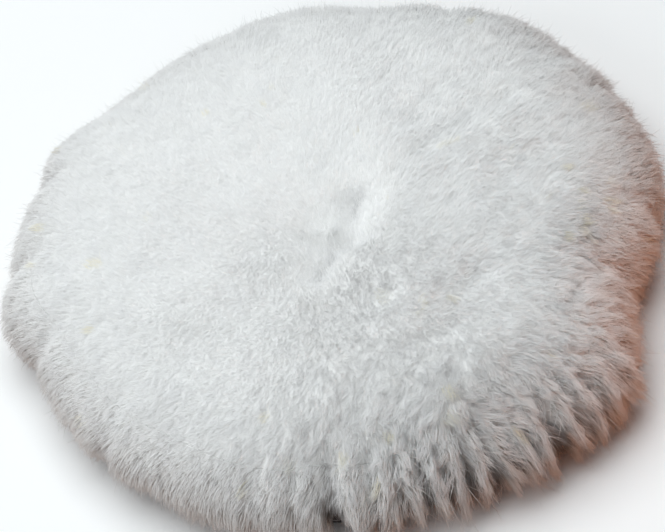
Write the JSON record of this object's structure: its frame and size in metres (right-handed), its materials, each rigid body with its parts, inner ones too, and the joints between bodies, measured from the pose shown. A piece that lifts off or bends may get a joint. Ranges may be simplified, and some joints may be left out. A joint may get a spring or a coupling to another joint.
{
  "type": "polishing pad",
  "caption": "Round lambswool polishing pad with a loop fabric back, foam cushion and centre locating hole, for a rotary polisher's backing plate.",
  "frame": {"origin": "on the pad's axis, at the face of the loop nap that the pad stands on and that grips the backing plate", "axes": "+Z along the pad's axis, from the loop back towards the wool's face; X and Y are any two directions across it"},
  "size_m": [0.19, 0.19, 0.0354],
  "materials": {
    "lambswool": "soft, natural off-white wool with cream tips",
    "sheep_hide": "matt, undyed suede side",
    "cushion_foam": "matt, fine open cells",
    "adhesive": "satin, dried contact adhesive",
    "loop_fabric": "matt, brushed loops",
    "backing_cloth": "matt, plain weave",
    "hem_tape": "matt, ribbed weave",
    "seam_thread": "matt, twisted",
    "hem_thread": "slight sheen, twisted"
  },
  "bodies": {
    "root": {"loop_nap": "loop_fabric", "loop_cloth": "backing_cloth", "lower_adhesive_film": "adhesive", "foam_cushion": "cushion_foam", "upper_adhesive_film": "adhesive", "hide_disc": "sheep_hide", "hide_side_band": "sheep_hide", "shoulder_seam_thread": "seam_thread", "hem_tape": "hem_tape", "hem_thread": "hem_thread", "face_pile": "lambswool", "side_pile": "lambswool"}
  },
  "joints": []
}
